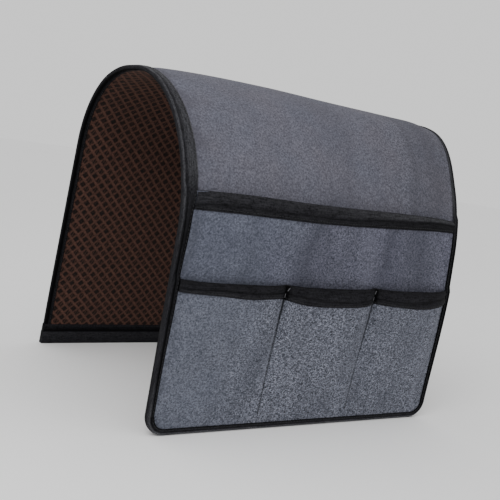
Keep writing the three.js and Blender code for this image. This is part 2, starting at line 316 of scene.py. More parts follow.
def drape(x, s, n):
    """Carries points of the flat pattern onto the drape."""
    x, s, n = np.broadcast_arrays(*(np.asarray(v, float) for v in (x, s, n)))
    y, z, heading = OUTLINE.at(s)
    n = n + lift(x, s)
    slide = np.where(s < FRONT_LEG, n * math.tan(FRONT_LEAN) * (1 - s / FRONT_LEG), 0)
    back = (s - OUTLINE.back_leg) / (LENGTH - OUTLINE.back_leg)
    slide = np.where(s > OUTLINE.back_leg, n * math.tan(BACK_LEAN) * back, slide)
    return np.stack(
        [
            x + sway(x, s),
            SHIFT + y - n * np.sin(heading) + slide * np.cos(heading),
            z + n * np.cos(heading) + slide * np.sin(heading),
        ],
        axis=-1,
    )


def half_width(s):
    """Half the width of the plies, which is less at the rounded front corners."""
    below = np.clip(PLY_CORNER - (np.asarray(s, float) - INSET), 0, PLY_CORNER)
    return PLY_HALF - PLY_CORNER + np.sqrt(PLY_CORNER**2 - below**2)


def across_bulge(x, count):
    """1 over the middle of each of count pockets, and 0 at their sides."""
    half = BULGE_HALF / count
    t = (x + BULGE_HALF) / (2 * half)
    u = 2 * (t - np.floor(t)) - 1
    return np.where((t <= 0) | (t >= count), 0, 1 - u**4)


def rise_to(s, mouth):
    """The share of the way up from the hem's seam to a pocket's mouth."""
    return np.clip((s - BULGE_START) / (mouth - BULGE_START), 0, 1)


def upper_bulge(x, s):
    return UPPER_DEPTH * across_bulge(x, 1) * rise_to(s, UPPER_MOUTH) ** UPPER_TAPER


def by_pocket(x, values):
    """One value per lower pocket, picked by the place across."""
    index = np.floor((np.asarray(x, float) + BULGE_HALF) * POCKETS / (2 * BULGE_HALF))
    return np.array(values)[np.clip(index, 0, POCKETS - 1).astype(int)]


def lower_bulge(x, s):
    """Fullest just below the mouth's tape, which draws the mouth itself in."""
    belly_at = LOWER_MOUTH - LOWER_TAPE
    fill = rise_to(s, belly_at) ** LOWER_TAPER
    lip = ease(s, belly_at, LOWER_TAPE)
    depth = by_pocket(x, BELLIES) * fill * (1 - lip) + by_pocket(x, LIPS) * lip
    return depth * across_bulge(x, POCKETS)


def upper_inside(x, s):
    return UPPER_IN + upper_bulge(x, s)


def lower_inside(x, s):
    return LOWER_IN + upper_bulge(x, s) + lower_bulge(x, s)


# The large pocket's mouth is not quite level: places across, then heights to add, in millimetres
MOUTH_LINE = (
    (-165, -110, -40, 80, 130, 165),
    (0.5, 0.3, -1.2, -1.0, -1.4, -3.2),
)


def upper_mouth(x):
    return UPPER_MOUTH + curve(MOUTH_LINE, x) - UPPER_SAG * across_bulge(x, 1)


def lower_mouth(x):
    return LOWER_MOUTH + LOWER_LIFT - LOWER_SAG * across_bulge(x, POCKETS)


def make_object(name, points, faces, flat, material, sharp=60, shade=None):
    """A mesh piece that keeps each point's place in the flat pattern, for its material."""
    mesh = bpy.data.meshes.new(name)
    mesh.from_pydata(points.tolist(), [], faces)
    place = mesh.attributes.new("flat", "FLOAT_VECTOR", "POINT")
    place.data.foreach_set("vector", flat.astype(np.float32).ravel())
    if shade is not None:
        tone = mesh.attributes.new("shade", "FLOAT", "POINT")
        tone.data.foreach_set("value", shade.astype(np.float32).ravel())
    mesh.materials.append(material)
    mesh.shade_smooth()
    mesh.set_sharp_from_angle(angle=math.radians(sharp))
    obj = bpy.data.objects.new(name, mesh)
    bpy.context.scene.collection.objects.link(obj)
    return obj


def grid_faces(rows, columns):
    r, c = np.meshgrid(np.arange(rows - 1), np.arange(columns - 1), indexing="ij")
    a = (r * columns + c).ravel()
    return np.stack([a, a + 1, a + columns + 1, a + columns], axis=1)


def ply(name, x, s, inside, outside, material):
    """A closed sheet from two faces over one grid; all the arrays have the grid's shape."""
    rows, columns = x.shape
    size = rows * columns
    points = np.concatenate([drape(x, s, level).reshape(-1, 3) for level in (inside, outside)])
    flat = [np.stack([x, s, level], -1).reshape(-1, 3) for level in (inside, outside)]
    under = grid_faces(rows, columns)
    over = under[:, ::-1] + size
    edge = np.arange(size).reshape(rows, columns)
    rim = np.concatenate([edge[0, :], edge[1:, -1], edge[-1, -2::-1], edge[-2:0:-1, 0]])
    following = np.roll(rim, -1)
    wall = np.stack([rim, rim + size, following + size, following], axis=1)
    faces = np.concatenate([under, over, wall]).tolist()
    return make_object(name, points, faces, np.concatenate(flat), material)


def sweep(name, sections, place, along, material, sharp=50, shade=None):
    """A folded tape: sections is stations by points by 2, carried by place(station, w, n)."""
    stations, size, _ = sections.shape
    i = np.arange(stations)[:, None] * np.ones(size, int)
    points = place(i, sections[..., 0], sections[..., 1]).reshape(-1, 3)
    steps = np.hypot(*np.moveaxis(np.diff(sections, axis=1, append=sections[:, :1]), -1, 0))
    girth = np.cumsum(steps, axis=1) - steps
    flat = np.stack([along[i], girth, sections[..., 1]], -1).reshape(-1, 3)
    r, c = np.meshgrid(np.arange(stations - 1), np.arange(size), indexing="ij")
    a, b = (r * size + c).ravel(), (r * size + (c + 1) % size).ravel()
    faces = np.stack([a, a + size, b + size, b], axis=1).tolist()
    faces.append(list(range(size)))
    faces.append(list(range((stations - 1) * size, stations * size))[::-1])
    return make_object(name, points, faces, flat, material, sharp, shade)


def stitches(name, path, stitch, material):
    """A row of stitches along a path of points: short rounded tubes with gaps between them."""
    length, gap, radius = stitch
    steps = np.linalg.norm(np.diff(path, axis=0), axis=1)
    travelled = np.concatenate([[0], np.cumsum(steps)])
    starts = np.arange(gap, travelled[-1] - length, length + gap)

    def at(distance):
        return np.stack([np.interp(distance, travelled, path[:, k]) for k in range(3)], -1)

    first, last = at(starts), at(starts + length)
    ahead = last - first
    ahead /= np.linalg.norm(ahead, axis=1, keepdims=True)
    side = np.cross(ahead, [0.31, 0.22, 0.93])
    side /= np.linalg.norm(side, axis=1, keepdims=True)
    up = np.cross(side, ahead)
    rings = ((0, 0.35), (0.15, 1.0), (0.85, 1.0), (1, 0.35))
    sides = 6
    angles = (np.arange(sides) * 2 * math.pi / sides)[None, :, None]
    around = np.cos(angles) * side[:, None] + np.sin(angles) * up[:, None]
    ring_points = []
    for share, size in rings:
        centre = first + share * (last - first)
        ring_points.append(centre[:, None] + radius * size * around)
    points = np.stack(ring_points, axis=1).reshape(-1, 3)
    faces = []
    for k in range(len(starts)):
        base = k * sides * len(rings)
        for r in range(len(rings) - 1):
            for c in range(sides):
                a = base + r * sides + c
                b = base + r * sides + (c + 1) % sides
                faces.append([a, b, b + sides, a + sides])
        faces.append([base + c for c in range(sides)][::-1])
        faces.append([base + sides * (len(rings) - 1) + c for c in range(sides)])
    return finish_piece(make_object(name, points, faces, points, material), None)


class Finish:
    """A material and short ways to add nodes to it; flat is the pattern's place at each point."""

    def __init__(self, name, roughness, sheen, sheen_tint, specular=0.25):
        self.material = bpy.data.materials.new(name)
        self.material.use_nodes = True
        self.tree = self.material.node_tree
        self.shader = self.tree.nodes["Principled BSDF"]
        self.shader.inputs["Roughness"].default_value = roughness
        self.shader.inputs["Specular IOR Level"].default_value = specular
        self.shader.inputs["Sheen Weight"].default_value = sheen
        self.shader.inputs["Sheen Roughness"].default_value = 0.5
        self.shader.inputs["Sheen Tint"].default_value = (*sheen_tint, 1)
        self.flat = self.attribute("flat")["Vector"]

    def attribute(self, name):
        node = self.tree.nodes.new("ShaderNodeAttribute")
        node.attribute_name = name
        return node.outputs

    def link(self, value, socket):
        if isinstance(value, (int, float, tuple)):
            socket.default_value = value
        else:
            self.tree.links.new(value, socket)

    def math(self, operation, *values):
        node = self.tree.nodes.new("ShaderNodeMath")
        node.operation = operation
        for value, socket in zip(values, node.inputs):
            self.link(value, socket)
        return node.outputs[0]

    def plus(self, first, second):
        return self.math("ADD", first, second)

    def minus(self, first, second):
        return self.math("SUBTRACT", first, second)

    def times(self, first, second):
        return self.math("MULTIPLY", first, second)

    def away(self, value, place):
        return self.math("ABSOLUTE", self.minus(value, place))

    def wave(self, value, pitch):
        return self.math("SINE", self.times(value, 2 * math.pi / pitch))

    def stretch(self, scale):
        """The flat pattern's vector, scaled."""
        node = self.tree.nodes.new("ShaderNodeVectorMath")
        node.operation = "MULTIPLY"
        self.link(self.flat, node.inputs[0])
        node.inputs[1].default_value = scale
        return node.outputs[0]

    def noise(self, size, detail=2.0, roughness=0.5, vector=None, distortion=0.0):
        node = self.tree.nodes.new("ShaderNodeTexNoise")
        self.link(self.flat if vector is None else vector, node.inputs["Vector"])
        node.inputs["Scale"].default_value = 1 / size
        node.inputs["Detail"].default_value = detail
        node.inputs["Roughness"].default_value = roughness
        node.inputs["Distortion"].default_value = distortion
        return node.outputs["Fac"]

    def span(self, value, low, high, out_low=0.0, out_high=1.0):
        node = self.tree.nodes.new("ShaderNodeMapRange")
        self.link(value, node.inputs["Value"])
        node.inputs["From Min"].default_value = low
        node.inputs["From Max"].default_value = high
        node.inputs["To Min"].default_value = out_low
        node.inputs["To Max"].default_value = out_high
        return node.outputs["Result"]

    def mix(self, amount, first, second, blend="MIX"):
        node = self.tree.nodes.new("ShaderNodeMix")
        node.data_type = "RGBA"
        node.blend_type = blend
        sockets = (node.inputs[0], node.inputs[6], node.inputs[7])
        for value, socket in zip((amount, first, second), sockets):
            if isinstance(value, tuple) and len(value) == 3:
                value = (*value, 1)
            self.link(value, socket)
        return node.outputs[2]

    def split(self):
        node = self.tree.nodes.new("ShaderNodeSeparateXYZ")
        self.link(self.flat, node.inputs[0])
        return node.outputs

    def colour(self, value):
        self.link(value, self.shader.inputs["Base Color"])

    def bump(self, height, distance, strength=1.0):
        node = self.tree.nodes.new("ShaderNodeBump")
        node.inputs["Distance"].default_value = distance
        node.inputs["Strength"].default_value = strength
        self.link(height, node.inputs["Height"])
        self.link(node.outputs[0], self.shader.inputs["Normal"])


def scaled(colour, factor):
    return tuple(v * factor for v in colour)


# Felt: the sizes and relief of its marks, how far the clouds shift the painted shadow bands
# and the border of the calm nap, and how wide that border is to its left and right
SPECKLE_CONTRAST = 0.12
FINE_GRAIN = 0.45 * MM
GRAIN_RELIEF = 0.3 * MM
HAIR = 0.9 * MM
PATCH = 7 * MM
CLOUD = 45 * MM
WORN = 60 * MM
DRIFT = 60 * MM
CALM_BEFORE, CALM_AFTER = 30 * MM, 35 * MM

# Painted shade and a painted highlight at a seam on the felt: half widths where each begins and
# is full, then the stretches above the hem over which the shaded line begins, it tightens and
# the shaded valley deepens
VALLEY = (11 * MM, 1 * MM)
SEAM_LINE = (1.3 * MM, 0.5 * MM)
RIDGE = (1.6 * MM, 0.3 * MM)
RIDGE_PLACE = 2.6 * MM
LINE_BEGINS = (SEAM_START, SEAM_START + 25 * MM)
LINE_TIGHTENS = (30 * MM, 125 * MM)
VALLEY_DEEPENS = (70 * MM, 130 * MM)


def painted_seam_shade(f, base, x, s, seam, dark, light):
    """Paints shade on the felt where a seam draws it into a valley and a crease line, and a
    painted highlight on a ridge to the left of the seam.
    """
    above = f.span(s, *LINE_BEGINS)
    taut = f.span(s, *LINE_TIGHTENS, 0.3, 0.95)
    drawn = f.span(s, *VALLEY_DEEPENS, 0.0, 0.4)
    away = f.away(x, seam)
    base = f.mix(f.times(f.span(away, *VALLEY), drawn), base, dark)
    line = f.times(f.span(away, *SEAM_LINE), above)
    base = f.mix(f.times(line, taut), base, scaled(dark, 0.2))
    ridge = f.times(f.span(f.away(x, seam - RIDGE_PLACE), *RIDGE), above)
    return f.mix(f.times(ridge, 0.3), base, light)


def felt(name, dark, light, tint, painted_left_light, calm, size, hair, streaks, painted_shade_and_light, seams=()):
    """Brushed felt: speckle, short light and dark hairs lying every way, and soft clouds of hue.

    dark and light are the speckle's colours, size its size, and tint the clouds' hue. Left of
    calm the nap lies smoother, and bloom brightens and tints it there with painted light. hair and
    streaks are amounts. folds are bands of painted shadow, as in creases of the cloth and beside
    the tapes: place across and half width in millimetres, then depth, less than 0 for a band of
    painted light. seams are the places across of the seams that draw the felt in, each with
    painted shade along it and a painted highlight on its left.
    """
    f = Finish(name, 0.95, 0.05, light)
    grain = f.noise(size, 3, 0.75)
    fine = f.noise(FINE_GRAIN, 2, 0.8)
    first = f.noise(HAIR, 2, 0.6, f.stretch((1.0, 0.35, 1.0)), 0.8)
    second = f.noise(HAIR, 2, 0.6, f.stretch((0.35, 1.0, 1.0)), 0.8)
    cloud = f.noise(CLOUD, 3, 0.5)
    worn = f.noise(WORN, 2, 0.5, f.stretch((2.4, 0.8, 1.0)))
    patch = f.noise(PATCH, 3, 0.6)
    x, s, _ = f.split()
    edge = f.plus(x, f.times(f.minus(cloud, 0.5), DRIFT))
    rough = f.span(edge, calm - CALM_BEFORE, calm + CALM_AFTER)
    fleck = f.times(f.minus(grain, 0.5), f.span(rough, 0, 1, 0.7, 1.0))
    base = f.mix(f.span(fleck, -SPECKLE_CONTRAST, SPECKLE_CONTRAST), dark, light)
    base = f.mix(f.span(cloud, 0.35, 0.65, 0.0, 0.6), base, tint, "MULTIPLY")
    base = f.mix(f.span(patch, 0.3, 0.7, 0.0, 0.25), base, dark)
    base = f.mix(f.span(worn, 0.4, 0.62, streaks, 0.0), base, dark)
    amount = f.span(worn, 0.38, 0.6, 0.55, 1.0)
    amount = f.times(amount, f.span(rough, 0, 1, 0.2 * hair, hair))
    hairs = f.math("MAXIMUM", f.span(first, 0.56, 0.64), f.span(second, 0.56, 0.64))
    gaps = f.times(f.span(second, 0.44, 0.36), amount)
    base = f.mix(gaps, base, scaled(dark, 0.35))
    base = f.mix(f.times(hairs, amount), base, scaled(light, 2.0))
    # Painted light: the left side, where the nap is calm, is brightened and tinted
    base = f.mix(f.span(rough, 0, 1, 1.0, 0.0), base, painted_left_light, "MULTIPLY")
    # Bands of painted shadow, and of painted light where the depth is below 0
    for place, half, depth in painted_shade_and_light:
        shadow = f.span(f.away(edge, place * MM), half * MM, 0)
        shadow = f.math("SMOOTH_MIN", shadow, 1.0, 0.3)
        base = f.mix(f.times(shadow, abs(depth)), base, dark if depth > 0 else light)
    for seam in seams:
        base = painted_seam_shade(f, base, x, s, seam, dark, light)
    f.colour(base)
    f.bump(f.plus(grain, f.times(fine, 0.5)), GRAIN_RELIEF, 0.6)
    return f.material


def lattice_cloth(name):
    """Brown cloth woven with a slanting lattice: ribbed and solid dark blocks in turn."""
    cell_along, cell_across = 8.1 * MM, 7.1 * MM
    half_along, half_across, soft = 0.385, 0.40, 0.1
    slant = math.radians(-43)
    bend, bend_size = 2.4 * MM, 30 * MM
    rib_pitch, rib_slope = 2.9 * MM, 0.45
    fleck_size, thread_size, relief = 1.8 * MM, 0.5 * MM, 0.25 * MM
    f = Finish(name, 0.85, 0.1, (0.3, 0.2, 0.15))
    x, s, _ = f.split()
    x = f.plus(x, f.times(f.minus(f.noise(bend_size, 1), 0.5), bend))
    cosine, sine = math.cos(slant), math.sin(slant)
    p = f.math("DIVIDE", f.plus(f.times(x, cosine), f.times(s, sine)), cell_along)
    q = f.math("DIVIDE", f.minus(f.times(s, cosine), f.times(x, sine)), cell_across)

    def block(value, half):
        return f.span(f.away(f.math("FRACT", value), 0.5), half, half - soft)

    rows = f.span(block(q, half_across), 0, 1, 0.16, 1.0)
    inside = f.times(block(p, half_along), rows)
    parity = f.plus(f.math("FLOOR", p), f.math("FLOOR", q))
    ribbed = f.math("FLOORED_MODULO", parity, 2.0)
    bars = f.span(f.wave(f.plus(x, f.times(s, rib_slope)), rib_pitch), -0.95, -0.35)
    depth = f.mix(ribbed, f.span(bars, 0, 1, 0.95, 1.0), f.span(bars, 0, 1, 0.4, 1.0))
    fleck = f.noise(fleck_size, 2, 0.8)
    dark = f.times(inside, f.times(depth, f.span(fleck, 0.4, 0.65, 1.0, 0.8)))
    thread = f.noise(thread_size, 2, 0.7)
    light = f.plus(f.times(thread, 0.3), f.times(fleck, 0.7))
    brown = f.mix(f.span(light, 0.36, 0.64), (0.033, 0.0145, 0.0105), (0.104, 0.046, 0.0315))
    f.colour(f.mix(dark, brown, (0.0008, 0.0004, 0.0004)))
    f.bump(f.minus(f.times(thread, 0.4), dark), relief, 0.8)
    return f.material


def tape_cloth(name):
    """Black ribbed tape: fine cords along it, crossed by weft, with painted light and shade from
    its shade attribute.
    """
    weft_pitch, cord_pitch, relief = 0.7 * MM, 0.8 * MM, 0.14 * MM
    streak_size, speck_size, worn_size = 1.1 * MM, 1.6 * MM, 6 * MM
    f = Finish(name, 0.8, 0.0, (0.5, 0.52, 0.55), 0.05)
    along, across, _ = f.split()
    weave = f.times(f.wave(along, weft_pitch), f.wave(across, cord_pitch))
    weave = f.times(f.plus(weave, 1.0), 0.5)
    streak = f.noise(streak_size, 3, 0.7, f.stretch((0.12, 1.0, 1.0)))
    speck = f.noise(speck_size, 2, 0.7)
    worn = f.noise(worn_size, 3, 0.6)
    cloth = f.plus(f.times(streak, 0.45), f.times(weave, 0.1))
    cloth = f.plus(cloth, f.times(speck, 0.45))
    base = f.mix(f.span(cloth, 0.38, 0.62), (0.003, 0.003, 0.0036), (0.0255, 0.025, 0.0295))
    base = f.mix(f.span(worn, 0.45, 0.75, 0.0, 0.3), base, (0.026, 0.027, 0.028))
    # The shade attribute is painted light above 0 and painted shade below 0
    tone = f.attribute("shade")["Fac"]
    lit = f.times(f.span(tone, 0, 1), f.span(cloth, 0.42, 0.58, 0.3, 1.15))
    base = f.mix(lit, base, (0.105, 0.106, 0.115))
    f.colour(f.mix(f.span(tone, 0, -0.8, 0.0, 0.95), base, (0.0006, 0.0006, 0.0008)))
    f.bump(f.plus(f.times(weave, 0.6), streak), relief, 0.9)
    return f.material


def plain_thread(name, colour):
    f = Finish(name, 0.6, 0.1, colour)
    f.colour(f.mix(f.noise(0.4 * MM, 1), colour, scaled(colour, 0.55)))
    return f.material


def padding_foam(name):
    f = Finish(name, 0.95, 0.0, (1, 1, 1))
    cells = f.noise(0.8 * MM, 2)
    f.colour(f.mix(cells, (0.6, 0.57, 0.5), (0.72, 0.69, 0.62)))
    f.bump(cells, 0.3 * MM)
    return f.material


FACE_FELT = felt(
    "face_felt",
    dark=(0.044, 0.043, 0.055),
    light=(0.146, 0.142, 0.170),
    tint=(0.84, 0.92, 0.98),
    painted_left_light=(1.10, 1.10, 1.11),
    calm=70 * MM,
    size=1.7 * MM,
    hair=0.14,
    streaks=0.12,
    painted_shade_and_light=((-152, 14, 0.5), (10, 35, 0.16), (106, 8, 0.3), (132, 34, 0.4)),
)
UPPER_FELT = felt(
    "upper_pocket_felt",
    dark=(0.029, 0.031, 0.044),
    light=(0.138, 0.140, 0.180),
    tint=(0.88, 0.86, 0.93),
    painted_left_light=(1.18, 1.25, 1.23),
    calm=-60 * MM,
    size=1.8 * MM,
    hair=0.34,
    streaks=0.2,
    painted_shade_and_light=(
        (-156, 16, 0.45), (-98, 16, 0.25), (-32, 21, 0.6),
        (40, 10, -0.25), (66, 14, 0.45), (104, 32, 0.38),
    ),
)
LOWER_FELT = felt(
    "lower_pocket_felt",
    dark=(0.023, 0.026, 0.036),
    light=(0.148, 0.155, 0.190),
    tint=(0.95, 0.94, 0.92),
    painted_left_light=(1.23, 1.25, 1.27),
    calm=-85 * MM,
    size=1.7 * MM,
    hair=0.85,
    streaks=0.12,
    painted_shade_and_light=((-158, 10, 0.3), (-70, 14, 0.12), (148, 7, -0.3)),
    seams=SEAMS,
)
BROWN = lattice_cloth("lining_cloth")
BLACK = tape_cloth("tape_cloth")
THREAD = plain_thread("black_thread", (0.016, 0.016, 0.018))
PALE_THREAD = plain_thread("grey_thread", (0.21, 0.21, 0.225))
FOAM = padding_foam("padding_foam")


def finish_piece(obj, node):
    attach(obj, "root")
    if node:
        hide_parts(node)
    return obj


def spread(start, end, step):
    return np.linspace(start, end, max(2, int(round((end - start) / step)) + 1))


def ply_rows(top):
    """Places along the cloth up to top, closer together round the front corners."""
    corner = INSET + PLY_CORNER * (1 - np.cos(np.linspace(0, math.pi / 2, 9)))
    return np.concatenate([corner, spread(CORNER, top, PLY_STEP)[1:]])


def laminate_grid():
    s = ply_rows(LENGTH - INSET)
    t = spread(-1, 1, PLY_STEP / PLY_HALF)
    x = t[None, :] * half_width(s)[:, None]
    return x, s[:, None] * np.ones_like(x)


def puff(x, s):
    """The laminate is full between its tapes and pressed flat under them."""
    side = smooth((PLY_HALF - PUFF_INSET - np.abs(x)) / PUFF_RISE)
    front = smooth((s - UPPER_MOUTH - RAMP) / FRONT_PUFF_RISE)
    back = smooth((LENGTH - BAND_HEIGHT - s) / PUFF_RISE)
    return PUFF * side * front * back


def hug(x, s):
    """How far the lining is drawn up against the face at the edges of the crown."""
    side = smooth((np.abs(x) - PLY_HALF + HUG_INSET) / HUG_RISE)
    return HUG * side * np.exp(-(((s - APEX) / HUG_REACH) ** 2))


def laminate():
    x, s = laminate_grid()
    full = puff(x, s)
    under = full - hug(x, s)
    face = ply("face_cloth", x, s, FACE_IN + full, FACE_OUT + full, FACE_FELT)
    lining = ply("lining_sheet", x, s, LINING_IN - under, LINING_OUT - under, BROWN)
    foam = ply("padding_sheet", x, s, -PADDING / 2 - under, PADDING / 2 + full, FOAM)
    return (
        finish_piece(face, "face_fabric"),
        finish_piece(lining, "lining"),
        finish_piece(foam, "foam_core"),
    )


def pocket_panel(name, node, inside, mouth, top, material):
    rows = ply_rows(top - TAPE - GAP)
    t = np.concatenate([[-1], spread(-BULGE_HALF, BULGE_HALF, PANEL_STEP) / PLY_HALF, [1]])
    x = t[None, :] * half_width(rows)[:, None]
    share = (rows - INSET) / (rows[-1] - INSET)
    s = rows[:, None] - share[:, None] * (top - mouth(x))
    level = inside(x, s)
    panel = ply(name, x, s, level, level + POCKET, material)
    return finish_piece(panel, node)


def tape_relief(share, crease):
    """The outer face of a mouth's tape: two soft lengthwise rolls parted by a crease."""
    above = np.sin(math.pi * np.clip(share / crease, 0, 1)) ** 0.8
    below = np.sin(math.pi * np.clip((share - crease) / (1 - crease), 0, 1)) ** 0.8
    return UPPER_ROLL * above + LOWER_ROLL * below


def tape_wave(x):
    """How far the crease wanders, as a share of the tape's height."""
    return 0.07 * np.sin(27 * x + 0.5) + 0.04 * np.sin(73 * x + 1)


def rightwards(x):
    """0 left of the middle, and 1 near the right end."""
    return ease(x, -40 * MM, 150 * MM)


def upper_crease(x):
    return 0.62 - 0.25 * rightwards(x) + 0.6 * tape_wave(x)


def lower_crease(x):
    return 0.55 + tape_wave(x)


def pinch_at(x, seams):
    """1 at a seam and 0 away from it."""
    return sum(np.exp(-(((x - seam) / PINCH) ** 2)) for seam in seams) + 0 * x


def tape_end(x, s):
    """Carries the ends of a mouth's tape out to the inner edge of the side tapes."""
    reach = np.where(x < 0, curve(LEFT_STRIP, s), curve(RIGHT_STRIP, s))
    more = WIDTH / 2 - reach - GAP - BULGE_HALF
    return x + np.sign(x) * more * smooth((np.abs(x) - BULGE_HALF * 0.7) / (BULGE_HALF * 0.3))


def mouth_tones(share, crease, pinch, right, light):
    """Painted light and shade down the tape's outer face: lighter at its top, a shaded line at the
    crease, a darker shaded foot, and painted shade where a seam pinches it.
    """
    line = 0.4 * np.exp(-(((share - crease - 0.04) / 0.07) ** 2))
    tone = light * (1 - 1.4 * share) - line
    tone += 0.5 * right * (1 - smooth((share - crease + 0.15) / 0.2))
    foot = (0.15 + 0.5 * right) * smooth((share - crease + 0.05) / 0.2)
    return tone - (foot + 1.2 * pinch)


def mouth_tape(name, node, inside, mouth, height, crease_at, seams, light, deepen=0.0):
    """The tape folded over a pocket's mouth, with a rounded fold.

    light is the painted tone of its top, lit above 0 and shaded below, and deepen is how much more
    the tape is painted into a light top and a shaded foot towards its right end.
    """
    x = np.unique(np.concatenate([spread(-BULGE_HALF, BULGE_HALF, MOUTH_STEP), seams]))
    low = -GAP - TAPE
    high = POCKET + GAP + TAPE
    middle, reach = (low + high) / 2, (high - low) / 2
    turn = np.radians(np.arange(-60, 61, 30))
    depth = reach * 0.9
    fold = [(depth * (math.cos(a) - 1), middle + reach * math.sin(a)) for a in turn]
    share = np.linspace(0, 1, 17)
    sections, shades = [], []
    rights = deepen * rightwards(x)
    columns = zip(height(x) - reach, crease_at(x), pinch_at(x, seams), rights)
    for tall, crease, pinch, right in columns:
        relief = tape_relief(share, crease) * (1 - 0.9 * pinch)
        outer = [(-reach - f * tall, high + r) for f, r in zip(share, relief)]
        inner = [(-reach - f * tall, low) for f in share[::-4]]
        back = [(-reach - f * tall, high - TAPE) for f in (1, 0)]
        back += [(-reach - f * tall, low + TAPE) for f in (0, 1)]
        sections.append(inner + fold + outer + back)
        # Painted light and shade down the tape's outer face
        tones = mouth_tones(share, crease, pinch, right, light)
        shades.append([light] * (len(inner) + len(fold)) + list(tones) + [-1] * len(back))

    def place(i, w, n):
        s = mouth(x[i]) + w
        return drape(tape_end(x[i], s), s, inside(x[i], s) + n)

    shade = np.clip(np.array(shades), -1, 1)
    tape = sweep(name, np.array(sections), place, x, BLACK, shade=shade)
    finish_piece(tape, node)
    tall = height(x)
    s = mouth(x) - tall + MOUTH_STITCH_INSET
    relief = tape_relief(1 - MOUTH_STITCH_INSET / tall, crease_at(x))
    row = drape(tape_end(x, s), s, inside(x, s) + high + relief + STITCH_LIFT)
    thread = stitches(name.replace("tape", "stitches"), row, TAPE_STITCH, THREAD)
    return tape, thread


def upper_tape_height(x):
    across = (x / WIDTH) * 2
    sides = np.where(across < 0, UPPER_TAPE_LEFT, UPPER_TAPE_RIGHT)
    return UPPER_TAPE + (sides - UPPER_TAPE) * np.abs(across) ** 1.5


# The height of the lower mouths' tape: places across, then heights, in millimetres
LOWER_TAPE_HEIGHTS = (
    (-156, -125, -95, -58, -50, 15, 50, 75, 110, 156),
    (11, 10.8, 12.8, 12.8, 14.2, 16.8, 15.6, 15.4, 17, 13),
)


def lower_tape_height(x):
    return curve(LOWER_TAPE_HEIGHTS, x)


def tape_top(s):
    """The level of an edge tape's strip, which steps down past each mouth."""
    lower, upper, face = TAPE_TOPS
    first = smooth((s - LOWER_MOUTH - GAP) / RAMP)
    second = smooth((s - UPPER_MOUTH - GAP) / RAMP)
    return lower + (upper - lower) * first + (face - upper) * second


def edge_section(top, bottom, front_width, back_width):
    """The folded edge tape: first value out from the plies' edge, second the level.

    A thick roll runs along the edge, with a flat strip beside it on each face.
    """
    high, low = top + ROLL_PUFF, bottom - ROLL_DROP
    middle, half = (high + low) / 2, (high - low) / 2
    arch = []
    for angle in np.radians(np.arange(90, -91, -15)):
        cosine = max(0.0, math.cos(angle))
        arch.append((INSET - ROLL + ROLL * cosine**0.75, middle + half * math.sin(angle)))
    front_edge, back_edge = INSET - front_width, INSET - back_width
    groove = INSET - ROLL - GROOVE
    outer, inner = [], []
    for share in (0, 0.2, 0.5, 0.8):
        swell = SWELL * math.sin(math.pi * share)
        outer.append((front_edge + share * (groove - front_edge), top + swell))
    for share in (0.2, 0.5, 0.8, 1):
        swell = SWELL * math.sin(math.pi * share)
        inner.append((groove + share * (back_edge - groove), bottom - swell))
    loop = outer + [(groove, top + TOP_NIP)] + arch + [(groove, bottom + BOTTOM_NIP)] + inner
    loop += [(back_edge, bottom + TAPE), (GAP, bottom + TAPE)]
    return loop + [(GAP, top - TAPE), (front_edge, top - TAPE)]


def edge_shade(crown, roll_light=0.0, high=0.0, far=0.0):
    """Painted light and shade that go with edge_section: a painted highlight on the roll, and
    painted shade at its groove and on the inner side.

    crown is 1 where the strip is painted lighter towards the crown, roll_light where the roll is,
    high where the painted light is strongest, and far where the roll is painted dark again, past
    the crown.
    """
    light = 0.25 * high
    low_and_gain = ((-0.95, 1.45), (-0.8, 1.11), (-0.55, 0.85), (-0.35, 0.58))
    strip = [low + gain * crown + light for low, gain in low_and_gain]
    peak = (0.02 + 0.33 * roll_light) * (1 - far) + light - 0.3 * far
    roll = [-0.8 + 0.6 * roll_light + light, peak - 0.4 * (1 - roll_light)]
    roll += [peak, peak * 0.6, -0.2 * far]
    roll += [-0.1 - 0.2 * far, -0.2, -0.3, -0.4, -0.6, -0.8, -0.9, -0.9]
    groove = -0.85 + 0.8 * crown + light
    wall = -1 + 1.2 * crown
    return strip + [groove] + roll + [-0.8] + [-0.4] * 4 + [-1] * 3 + [wall]


def hem_shade(under=0.0):
    """The hem's painted light and shade; under is 1 on its straight stretch, which is painted a
    little lighter.
    """
    return np.array(edge_shade(0, 1)) + 0.45 * under


def side_shade(s):
    """The painted light and shade at one station, which run into the hem's at the rounded corner.
    """
    far = ease(s, *FAR_TONE)
    high = ease(s, *HIGH_TONE) * (1 - far)
    side = np.array(edge_shade(ease(s, *CROWN_TONE), ease(s, *ROLL_TONE), high, far))
    return side + (1 - ease(s, *CORNER_TONE)) * (hem_shade() - side)


def side_tape(name, node, side, strip):
    s = spread(CORNER + GAP, LENGTH - BAND_HEIGHT - GAP, EDGE_STEP)
    width = curve(strip, s)
    bottom = TAPE_BOTTOM + hug(PLY_HALF, s)
    rows = zip(tape_top(s), bottom, width)
    sections = np.array([edge_section(top, low, wide, BACK_STRIP) for top, low, wide in rows])
    shade = np.array([side_shade(station) for station in s])

    def place(i, w, n):
        return drape(side * (PLY_HALF + w), s[i], n)

    tape = sweep(name, sections, place, s, BLACK, shade=shade)
    finish_piece(tape, node)
    outer = drape(side * (WIDTH / 2 - width + STITCH_INSET), s, tape_top(s) + SWELL)
    inner = drape(side * (WIDTH / 2 - BACK_STRIP + STITCH_INSET), s, bottom - SWELL)
    label = name.replace("tape", "")
    threads = [
        stitches(label + "outer_stitches", outer, TAPE_STITCH, THREAD),
        stitches(label + "inner_stitches", inner, TAPE_STITCH, THREAD),
    ]
    return [tape] + threads


